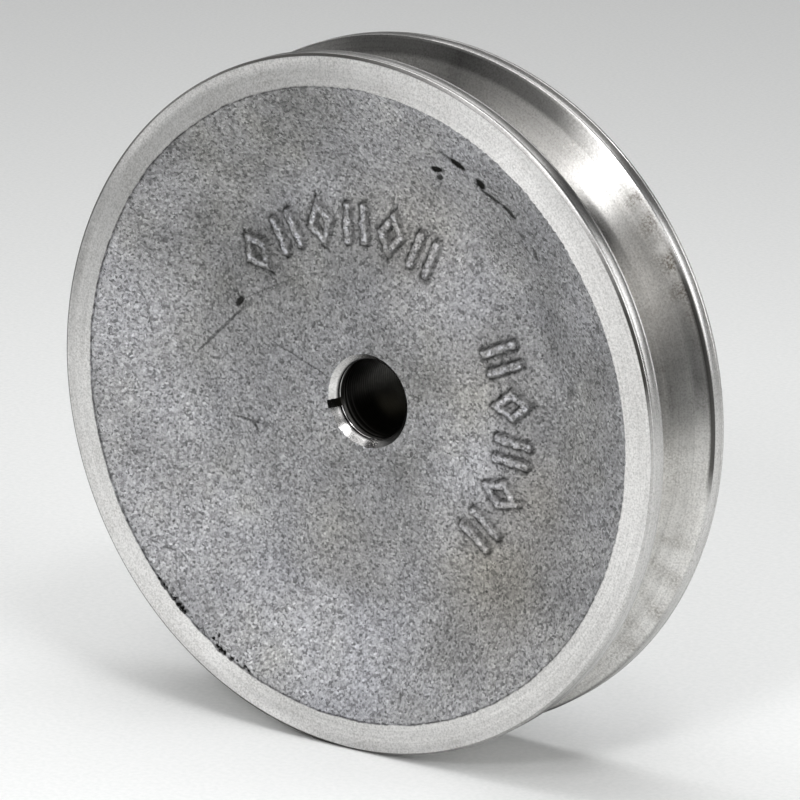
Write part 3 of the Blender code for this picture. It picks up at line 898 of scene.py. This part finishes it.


# painted shade in the corner of each flange, and painted reflections setting how bright the cut metal looks, by angle
# in degrees
EDGE_PAINTED_SHADE = ((0, 8, 13, 24, 34, 42, 52, 60, 75, 90, 110, 122, 140, 165, 180, 225, 240, 250, 268, 276, 288, 300, 318, 335),
              (0.3, 0.6, 1.0, 1.0, 0.75, 0.14, 0.18, 0.45, 0.80, 0.98, 1.0, 0.92, 0.80, 0.82, 0.8, 0.97, 0.97, 1.0, 1.0, 0.75, 0.6,
               0.45, 0.3, 0.1))
# brightness of each turned part by angle, painted in place of its reflections and highlights
PAINTED_REFLECTIONS = (
    ("ring", ((0, 0.92), (30, 0.86), (45, 0.76), (55, 0.95), (75, 1.0), (90, 0.85), (105, 0.70), (150, 0.56), (180, 0.84),
              (225, 0.78), (240, 0.90), (255, 0.80), (300, 0.94), (330, 0.88))),
    ("ring outer", ((0, 0.90), (15, 0.88), (30, 0.80), (45, 0.66), (54, 0.78), (60, 0.95), (75, 1.0), (90, 1.0), (105, 1.0),
                    (120, 0.85), (135, 0.92), (150, 0.52), (165, 0.52), (180, 0.76), (225, 0.76), (240, 0.72), (255, 0.94),
                    (270, 0.70), (300, 0.82), (330, 0.88))),
    ("land", ((-60, 0.34), (-50, 0.27), (-42, 0.62), (0, 0.75), (10, 0.60), (20, 0.77), (35, 0.8), (45, 0.4), (52, 0.6), (60, 0.5),
              (80, 0.64), (90, 0.95), (99, 0.28), (110, 0.18), (120, 0.22), (132, 0.34))),
    ("land back", ((-60, 0.24), (-50, 0.45), (-40, 0.55), (-20, 0.68), (0, 0.75), (10, 0.68), (18, 1.0), (33, 1.0), (40, 0.8),
                   (45, 0.65), (50, 1.0), (60, 0.74), (70, 0.62), (80, 0.62), (90, 0.80), (100, 0.37), (110, 0.17), (130, 0.3))),
    ("wall outer", ((-60, 0.95), (-30, 1.0), (-15, 1.0), (-5, 0.95), (0, 0.75), (5, 0.42), (10, 0.26), (15, 0.42), (21, 0.66),
                    (30, 1.0), (36, 0.82), (41, 0.65), (47, 0.85), (55, 0.65), (60, 0.34), (70, 0.36), (80, 0.18), (90, 0.42),
                    (100, 0.40), (120, 0.6))),
    ("wall", ((-60, 0.95), (-5, 0.90), (3, 0.48), (6, 0.44), (12, 0.52), (20, 0.83), (26, 1.0), (50, 0.95), (60, 1.0), (70, 0.82),
              (80, 0.42), (90, 0.85), (120, 1.0))),
    ("wall inner", ((-60, 0.6), (-50, 0.58), (-44, 0.9), (-6, 0.95), (0, 0.62), (6, 0.60), (12, 0.62), (18, 0.74), (26, 0.82),
                    (30, 0.78), (35, 0.57), (39, 0.32), (44, 0.26), (48, 0.56), (52, 0.90), (120, 1.0))),
    ("mouth", ((0, 0.2), (90, 0.55), (108, 0.78), (120, 0.74), (134, 0.63), (144, 0.70), (158, 0.84), (167, 0.95), (190, 0.85),
               (206, 0.98), (214, 0.80), (222, 0.40), (227, 0.9), (230, 1.0), (238, 0.70), (244, 1.0), (262, 0.90), (270, 1.0),
               (278, 0.6), (286, 0.12), (300, 0.12))),
)


def paint(ob):
    me = ob.data
    co = np.empty(len(me.vertices) * 3, np.float32)
    me.vertices.foreach_get("co", co)
    co = co.reshape(-1, 3) / MM
    x, z, y = co[:, 0].astype(float), -co[:, 1].astype(float), co[:, 2].astype(float)
    r, a = np.hypot(x, y), np.arctan2(y, x)
    edge_r = np.interp(a, theta, r_edge_front, period=2.0 * pi)
    drop = np.interp(a, theta, edge_drop, period=2.0 * pi)
    front = (z > 3.0) & (r < edge_r + 0.02) & (r > R_MOUTH - 0.2)
    tone = np.full(len(x), 0.5)
    stain = np.zeros(len(x))
    painted_shade_and_flaws = np.zeros(len(x))
    fx, fy = x[front], y[front]
    t = np.full(len(fx), 0.5)
    for tx, ty, tr, amount in TONES:
        t += amount * np.exp(-((fx - tx) ** 2 + (fy - ty) ** 2) / (tr * tr))
    t += 0.05 * np.exp(-((r[front] - 42.0) / 1.6) ** 2) + 0.05 * wave_long(fx + 9.0, fy - 20.0)
    tone[front] = t
    o = np.zeros(len(fx))
    for tx, ty, tr, amount in STAINS:
        o += amount * np.exp(-((fx - tx) ** 2 + (fy - ty) ** 2) / (tr * tr))
    stain[front] = np.clip(o, 0.0, 1.0)
    # painted shade on the flanks of the marks, heaviest on their left sides, where the light leaves them in shadow
    e = 0.12
    gx = (marks_height(fx + e, fy) - marks_height(fx - e, fy)) / (2 * e)
    gy = (marks_height(fx, fy + e) - marks_height(fx, fy - e)) / (2 * e)
    slope = np.hypot(gx, gy)
    d = marks_shape(fx, fy)
    ox = (marks_shape(fx + e, fy) - marks_shape(fx - e, fy)) / (2 * e)
    oy = (marks_shape(fx, fy + e) - marks_shape(fx, fy - e)) / (2 * e)
    lean = np.where(d < 3.0, np.clip(-(0.95 * ox + 0.30 * oy), -1.0, 1.0), 0.0)       # 1 on the left of a mark, the side painted darkest
    k = smoothstep(0.2, 1.4, slope) * (0.68 + 0.32 * lean)
    k = np.maximum(k, (0.86 + 0.30 * lean) * np.exp(-((d - 0.12 - 0.20 * lean) / (0.46 + 0.22 * lean)) ** 2))
    k = np.clip(k * (0.74 + 0.34 * smoothstep(-1.2, 0.8, wave_fine(fx * 0.8 + 50.0, fy * 0.8))), 0.0, 1.0)
    t += 0.80 * (1.0 - smoothstep(-0.60, -0.25, d)) * smoothstep(-0.8, 0.8, wave_fine(fx * 0.8, fy * 0.8))
    tone[front] = t
    # painted shade in the gouges and the pores
    k = np.maximum(k, 0.45 * smoothstep(0.08, 0.30, gouge_depth(fx, fy)))
    k = np.maximum(k, 0.62 * smoothstep(0.10, 0.40, pore_depth(fx, fy)))
    # dark line where the skin drops below the turned face: painted shade in the step, with some dirt
    rim_line = np.exp(-((edge_r[front] - r[front] - 0.04) / 0.17) ** 2) * smoothstep(0.08, 0.26, drop[front])
    k = np.maximum(k, (0.55 + 0.25 * np.clip(wave_mid(fx * 2.1, fy * 2.1), -1.0, 1.0)) * rim_line)
    painted_shade_and_flaws[front] = k
    # belt groove: rubbed and pitted sectors
    deg = np.degrees(a)
    g = (np.abs(z) < HALF_W - LAND - 0.1) & (r > root_r - 0.1)
    w = wave_mid(a * 60.0, z * 1.5)
    outer = smoothstep(60.5, 63.5, r[g])
    middle = 16.0 + 15.0 * outer
    worn = 0.42 + 0.63 * smoothstep(64.0, 66.0, r[g])
    stain[g] = np.clip(worn * np.exp(-((deg[g] - middle) / 13.5) ** 4) * (0.75 + 0.25 * w[g])
                       + 0.30 * np.exp(-((deg[g] + 32.0) / 30.0) ** 2) * (0.8 + 0.5 * w[g])
                       + 0.16 * np.exp(-((deg[g] - 78.0) / 17.0) ** 2) * (0.7 + 0.5 * w[g]), 0.0, 1.0)
    tone[~front] = 0.80
    # painted shade along the edge break of each flange
    cut_edge = (np.abs(np.abs(z) - HALF_W + 0.22) < 0.215) & (r > R_OUT - 0.52)
    painted_shade_and_flaws[cut_edge] = np.interp(deg[cut_edge], EDGE_PAINTED_SHADE[0], EDGE_PAINTED_SHADE[1], period=360.0)
    # painted reflections: brightness by angle on each turned part
    for part, curve in PAINTED_REFLECTIONS:
        if part == "ring":
            m = (z > HALF_W - 0.03) & (r > edge_r - 0.005)
        elif part == "ring outer":
            m = (z > HALF_W - 0.03) & (r > 66.8)
        elif part == "land":
            m = (z > half_g) & (r > R_OUT - 0.3) & (z < HALF_W - 0.45)
        elif part == "land back":
            m = (z < -half_g) & (r > R_OUT - 0.3) & (z > -HALF_W + 0.45)
        elif part == "wall outer":
            m = g & (r > 64.6)
        elif part == "wall":
            m = g & (r <= 64.6) & (r > 60.4)
        elif part == "wall inner":
            m = g & (r <= 60.4)
        else:
            m = (z > SHOULDER_Z - 0.1) & (r < R_MOUTH + 0.02)
        tone[m] = np.interp(deg[m], [c[0] for c in curve], [c[1] for c in curve], period=360.0)
    # painted shade on the back flange's rounded corner into the groove, from -12 to 36 degrees
    corner = (z < -root_half) & (z > -half_g - 0.30) & (r > 67.75) & (r < R_OUT - 0.01)
    painted_shade_and_flaws[corner] = 0.92 * smoothstep(-12.0, -4.0, deg[corner]) * (1.0 - smoothstep(24.0, 36.0, deg[corner]))
    # painted shade along the outer rim of the ring face: darkest at the bottom, where the rim meets the floor's shadow,
    # lighter round the rest
    under = (z > HALF_W - 0.07) & (r > R_OUT - 0.535)
    turn = deg[under] % 360.0
    line = np.maximum(0.97 * smoothstep(236.0, 248.0, turn) * (1.0 - smoothstep(266.0, 272.0, turn)),
                             0.60 * smoothstep(8.0, 20.0, turn) * (1.0 - smoothstep(80.0, 130.0, turn))
                             + 0.72 * smoothstep(128.0, 145.0, turn) * (1.0 - smoothstep(238.0, 250.0, turn)))
    painted_shade_and_flaws[under] = np.clip(np.maximum(painted_shade_and_flaws[under], line), 0.0, 1.0)
    # painted highlight: a bright line on the front land's crest from 24 to 82 degrees
    crest = (z > HALF_W - 0.70) & (z < HALF_W - 0.45) & (r > R_OUT - 0.1) & (deg > 24.0) & (deg < 82.0)
    tone[crest] = 1.0
    # painted shade on the lip inside the bore
    lip = (z > SHOULDER_Z - 0.1) & (z < THROAT_Z + 0.03) & (r < R_BORE + 0.1)
    tone[lip] = 0.10
    rimface = (z > HALF_W - 0.03) & (r > edge_r - 0.02)
    stain[rimface] = np.clip(0.22 * np.exp(-((deg[rimface] - 15.0) / 22.0) ** 2)
                             + 0.20 * np.exp(-((deg[rimface] + 45.0) / 30.0) ** 2), 0.0, 1.0)
    for name, values in (("tone", tone), ("stain", stain), ("painted_shade_and_flaws", np.clip(painted_shade_and_flaws, 0.0, 1.0))):
        at = me.attributes.new(name, 'FLOAT', 'POINT')
        at.data.foreach_set("value", values.astype(np.float32))


def paint_sleeve(ob):
    """Two rings lighter just behind the lip, strongest on the lower side, and rust further in."""
    me = ob.data
    co = np.empty(len(me.vertices) * 3, np.float32)
    me.vertices.foreach_get("co", co)
    co = co.reshape(-1, 3) / MM
    z = -co[:, 1]
    deg = np.degrees(np.arctan2(co[:, 2], co[:, 0])) % 360.0
    low = smoothstep(186.0, 205.0, deg) * (1.0 - smoothstep(262.0, 285.0, deg))
    light_rings = np.zeros(len(z))
    # lighter rings behind the lip, strongest on the lower side
    for depth, much in ((1.75, 0.80), (2.95, 0.60), (4.4, 0.25)):
        light_rings = np.maximum(light_rings, much * np.exp(-((z - THROAT_Z + depth) / 0.24) ** 2))
    light_rings *= 0.15 + 0.85 * low
    rust = 0.95 * np.exp(-((deg - 219.0) / 22.0) ** 2) * np.exp(-((z + 11.0) / 4.2) ** 4)
    for name, values in (("light_rings", light_rings), ("rust", rust)):
        at = me.attributes.new(name, 'FLOAT', 'POINT')
        at.data.foreach_set("value", values.astype(np.float32))


paint(casting)
paint_sleeve(sleeve)
soften(casting, 34.0)
soften(sleeve, 30.0)
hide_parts("pulley_casting")
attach(casting, "pulley")
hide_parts("bore_sleeve")
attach(sleeve, "pulley")


# ------------------------------------------------------------------ floor, light and camera
def plane(name, size, location, rotation=(0, 0, 0)):
    bm = bmesh.new()
    bmesh.ops.create_grid(bm, x_segments=1, y_segments=1, size=size / 2)
    me = bpy.data.meshes.new(name)
    bm.to_mesh(me)
    bm.free()
    ob = bpy.data.objects.new(name, me)
    bpy.context.scene.collection.objects.link(ob)
    ob.location, ob.rotation_euler = location, rotation
    return ob


floor = plane("floor", 8.0, (0, 0, -R_OUT * MM))
fm, nt, b = new_material("floor_paper")
col = ramp(nt, noise(nt, object_coords(nt), 900.0, 2.0, 0.6), [(0.35, (0.775, 0.785, 0.78)), (0.65, (0.825, 0.83, 0.825))])
nt.links.new(col, b.inputs["Base Color"])
b.inputs["Roughness"].default_value = 0.75
b.inputs["Specular IOR Level"].default_value = 0.25
floor.data.materials.append(fm)


def area(name, direction, distance, size, power, colour=(1, 1, 1), target=(0, 0, 0), size_y=None):
    d = Vector(direction).normalized()
    light = bpy.data.lights.new(name, 'AREA')
    light.shape = 'RECTANGLE'
    light.size, light.size_y = size, size_y or size
    light.energy = power
    light.color = colour
    ob = bpy.data.objects.new(name, light)
    bpy.context.scene.collection.objects.link(ob)
    ob.location = Vector(target) + d * distance
    ob.rotation_euler = d.to_track_quat('Z', 'Y').to_euler()
    return ob


def towards(azimuth, elevation):
    a, e = radians(azimuth), radians(elevation)
    return Vector((sin(a) * cos(e), -cos(a) * cos(e), sin(e)))


area("key", towards(16, 34), 1.1, 0.16, 2.8)
area("fill", towards(16, 50), 1.1, 0.20, 0.7)
area("side", towards(70, 45), 1.1, 0.16, 0.7)
area("high", towards(50, 56), 1.1, 0.16, 1.5)
area("hair", towards(34, 44), 1.1, 0.16, 0.4)
area("top", (0.0, 0.0, 0.5), 0.5, 0.5, 1.25)
area("left", (-0.4, 0.1, 0.7), 0.812, 0.5, 0.55)

world = bpy.data.worlds.new("studio")
bpy.context.scene.world = world
world.use_nodes = True
wn = world.node_tree
bg = wn.nodes["Background"]
way = node(wn, "ShaderNodeTexCoord").outputs["Generated"]


def lobe(azimuth, elevation, inner, outer, value):
    """A soft round patch of the studio's walls."""
    d = node(wn, "ShaderNodeVectorMath", operation='DOT_PRODUCT')
    wn.links.new(way, d.inputs[0])
    d.inputs[1].default_value = towards(azimuth, elevation)
    m = node(wn, "ShaderNodeMapRange", interpolation_type='SMOOTHSTEP')
    wn.links.new(d.outputs["Value"], m.inputs["Value"])
    m.inputs["From Min"].default_value = cos(radians(outer))
    m.inputs["From Max"].default_value = cos(radians(inner))
    m.inputs["To Min"].default_value = 0.0
    m.inputs["To Max"].default_value = value
    return m.outputs[0]


total = None
for patch in ((90, 10, 8, 17, 5.4), (-90, 27, 8, 17, 5.0), (70, 27, 8, 17, 3.6), (-5, 7, 8, 17, 3.4),
              (0, 90, 8, 17, 2.8), (120, 27, 8, 17, 2.5), (-120, 27, 8, 17, 0.8), (-30, 7, 8, 17, 0.25)):
    v = lobe(*patch)
    total = v if total is None else math(wn, 'ADD', total, v)
total = math(wn, 'ADD', total, 0.01)
wn.links.new(total, bg.inputs["Color"])
bg.inputs["Strength"].default_value = 1.0

az, el = radians(35.073), radians(15.596)
back = Vector((sin(az) * cos(el), -cos(az) * cos(el), sin(el)))
right = Vector((cos(az), sin(az), 0.0))
up = right.cross(-back)
cam_data = bpy.data.cameras.new("camera")
cam = bpy.data.objects.new("camera", cam_data)
bpy.context.scene.collection.objects.link(cam)
cam_data.sensor_width = 36.0
cam_data.lens = 4870.9 / 800.0 * 36.0
cam_data.clip_start, cam_data.clip_end = 0.05, 50.0
cam.location = back * 0.936
aim = right * 0.00279 - up * 0.00107
cam.rotation_euler = (cam.location - aim).to_track_quat('Z', 'Y').to_euler()
bpy.context.scene.camera = cam
bpy.context.scene.view_settings.view_transform = 'Standard'
